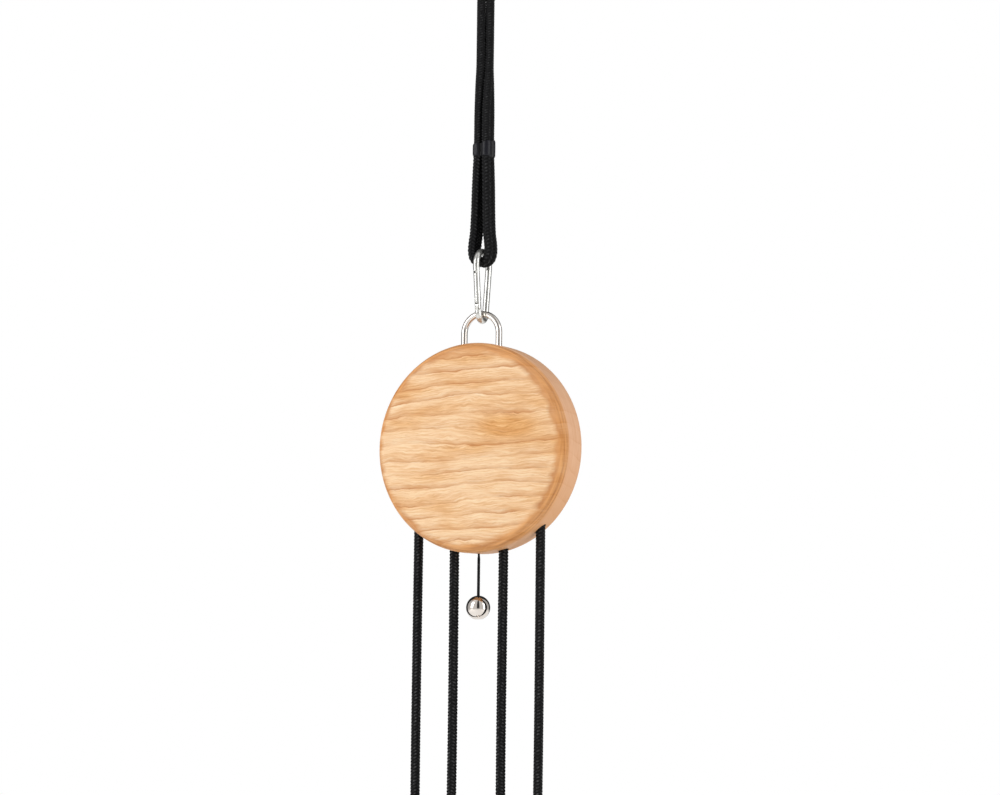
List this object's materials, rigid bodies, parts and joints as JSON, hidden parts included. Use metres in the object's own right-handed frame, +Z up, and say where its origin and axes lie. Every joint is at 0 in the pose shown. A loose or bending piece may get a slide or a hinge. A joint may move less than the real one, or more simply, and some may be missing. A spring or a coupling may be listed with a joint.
{
  "type": "suspension trainer",
  "caption": "Wooden disc with a rope sheave inside, hung by a snap hook on a rope sling from a ceiling plate, with pull handles on rope bights and a ball on a brake cord.",
  "frame": {"origin": "centre of the ceiling plate's top face, which meets the ceiling", "axes": "+Z up out of the ceiling plate, -Y the front face of the wooden disc, +X to the right seen from the front"},
  "size_m": [0.18, 0.151, 0.9383],
  "materials": {
    "oak": "satin oiled",
    "grip_wood": "satin oiled",
    "braided_rope": "braided polyester",
    "rope_band": "shrunk sleeve",
    "zinc_steel": "bright zinc plated",
    "polished_steel": "polished",
    "sheave_nylon": "moulded",
    "cage_brass": "machined",
    "webbing": "woven",
    "sleeve_plastic": "moulded",
    "brake_leather": "natural"
  },
  "bodies": {
    "ceiling_fitting": {"ceiling_plate": "zinc_steel", "ceiling_eye": "polished_steel"},
    "sling": {"sling_rope_front": "braided_rope", "sling_rope_rear": "braided_rope", "sling_band_lower": "rope_band", "sling_band_upper": "rope_band"},
    "snap_hook": {"hook_body": "zinc_steel", "gate_pin": "zinc_steel"},
    "gate": {"hook_gate": "zinc_steel", "gate_rivet": "zinc_steel"},
    "housing": {"housing_cup": "oak", "rear_cover": "oak", "cover_screws": "zinc_steel", "suspension_bail": "polished_steel", "yoke_block": "zinc_steel", "front_cheek": "zinc_steel", "rear_cheek": "zinc_steel", "cheek_screws": "zinc_steel", "cheek_wood_screws": "zinc_steel", "axle": "polished_steel", "axle_clip": "polished_steel", "axle_spacers": "polished_steel", "bearing_inner_race": "polished_steel", "rope_stops": "polished_steel", "brake_bush": "sheave_nylon", "rope_over_sheave": "braided_rope", "left_rope": "braided_rope", "right_rope": "braided_rope"},
    "sheave_wheel": {"sheave": "sheave_nylon", "bearing_outer_race": "polished_steel"},
    "bearing_cage": {"ball_cage": "cage_brass", "bearing_balls": "polished_steel"},
    "brake": {"brake_pad": "brake_leather", "brake_shoe": "zinc_steel", "brake_rod": "zinc_steel", "brake_spring": "zinc_steel"},
    "pull": {"pull_cord": "braided_rope", "pull_ball": "polished_steel", "pull_knot": "braided_rope"},
    "left_handle": {"left_bracket": "zinc_steel", "left_pulley_pin": "polished_steel", "left_strap_ring": "polished_steel", "left_strap": "webbing", "left_grip_sleeve": "sleeve_plastic"},
    "left_pulley_wheel": {"left_pulley": "sheave_nylon"},
    "left_grip_roll": {"left_grip": "grip_wood"},
    "right_handle": {"right_bracket": "zinc_steel", "right_pulley_pin": "polished_steel", "right_strap_ring": "polished_steel", "right_strap": "webbing", "right_grip_sleeve": "sleeve_plastic"},
    "right_pulley_wheel": {"right_pulley": "sheave_nylon"},
    "right_grip_roll": {"right_grip": "grip_wood"}
  },
  "joints": [
    {"name": "sling_swing", "type": "hinge", "parent": "ceiling_fitting", "child": "sling", "pos_m": [0, 0, -0.033], "axis": [-0.4226, 0.9063, 0], "range_deg": [-25, 25]},
    {"name": "hook_swing", "type": "hinge", "parent": "sling", "child": "snap_hook", "pos_m": [0, 0, -0.298], "axis": [0, 1, 0], "range_deg": [-20, 20]},
    {"name": "gate_open", "type": "hinge", "parent": "snap_hook", "child": "gate", "pos_m": [0, -0.00792, -0.34544], "axis": [1, 0, 0], "range_deg": [-30, 0], "stiffness_Nm_per_rad": 0.02, "springref_deg": 11.46},
    {"name": "housing_tilt", "type": "hinge", "parent": "snap_hook", "child": "housing", "pos_m": [0, 0, -0.35175], "axis": [1, 0, 0], "range_deg": [-30, 30]},
    {"name": "left_handle_travel", "type": "slide", "parent": "housing", "child": "left_handle", "axis": [0, 0, 1], "range_m": [-0.1, 0.1], "deforming": ["left_rope"]},
    {"name": "right_handle_travel", "type": "slide", "parent": "housing", "child": "right_handle", "axis": [0, 0, 1], "range_m": [-0.1, 0.1], "deforming": ["right_rope"]},
    {"name": "sheave_spin", "type": "hinge", "parent": "housing", "child": "sheave_wheel", "pos_m": [0, 0, -0.46775], "axis": [0, 1, 0], "range_deg": [-200, 200]},
    {"name": "cage_spin", "type": "hinge", "parent": "housing", "child": "bearing_cage", "pos_m": [0, 0, -0.46775], "axis": [0, 1, 0], "range_deg": [-122, 122]},
    {"name": "brake_pull", "type": "slide", "parent": "housing", "child": "brake", "axis": [0, 0, -1], "range_m": [0, 0.003], "stiffness_N_per_m": 1000, "springref_m": -0.003, "deforming": ["brake_spring"]},
    {"name": "ball_swing", "type": "hinge", "parent": "brake", "child": "pull", "pos_m": [0, 0, -0.55625], "axis": [1, 0, 0], "range_deg": [-25, 25]},
    {"name": "left_pulley_spin", "type": "hinge", "parent": "left_handle", "child": "left_pulley_wheel", "pos_m": [-0.04035, 0, -0.78975], "axis": [0, 1, 0], "range_deg": [-335, 335]},
    {"name": "left_grip_spin", "type": "hinge", "parent": "left_handle", "child": "left_grip_roll", "pos_m": [-0.04035, 0, -0.92125], "axis": [0, 1, 0], "continuous": true},
    {"name": "right_pulley_spin", "type": "hinge", "parent": "right_handle", "child": "right_pulley_wheel", "pos_m": [0.04035, 0, -0.78975], "axis": [0, 1, 0], "range_deg": [-335, 335]},
    {"name": "right_grip_spin", "type": "hinge", "parent": "right_handle", "child": "right_grip_roll", "pos_m": [0.04035, 0, -0.92125], "axis": [0, 1, 0], "continuous": true}
  ],
  "couplings": [
    {"joint": "right_handle_travel", "follows": "left_handle_travel", "ratio": -1},
    {"joint": "sheave_spin", "follows": "left_handle_travel", "rad_per_m": 34.783},
    {"joint": "cage_spin", "follows": "left_handle_travel", "rad_per_m": 21.217},
    {"joint": "left_pulley_spin", "follows": "left_handle_travel", "rad_per_m": 58.309},
    {"joint": "right_pulley_spin", "follows": "left_handle_travel", "rad_per_m": 58.309}
  ]
}
